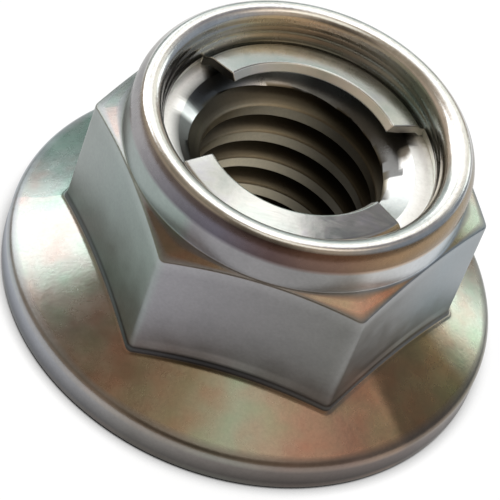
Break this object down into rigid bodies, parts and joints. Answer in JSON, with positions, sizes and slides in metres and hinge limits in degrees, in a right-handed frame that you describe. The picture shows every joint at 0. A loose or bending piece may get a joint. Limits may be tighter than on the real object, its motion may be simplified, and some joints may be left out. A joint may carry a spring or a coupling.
{
  "type": "locking flange nut",
  "caption": "Hexagon flange nut with a staked collar that holds a clawed spring ring against loosening, zinc-plated, for a 5/16-18 bolt.",
  "frame": {"origin": "centre of the flat bearing face under the flange, on the thread axis", "axes": "+Z along the thread axis from the bearing face to the collar; hexagon corners on +X and -X, the ring's claws centred on +Y and -Y"},
  "size_m": [0.0182, 0.0182, 0.0093],
  "materials": {
    "zinc_plate": "satin zinc plate with a faint yellow chromate tint",
    "stainless_sheet": "bright rolled stainless spring sheet"
  },
  "bodies": {
    "root": {"nut_body": "zinc_plate", "friction_ring": "stainless_sheet"}
  },
  "joints": []
}
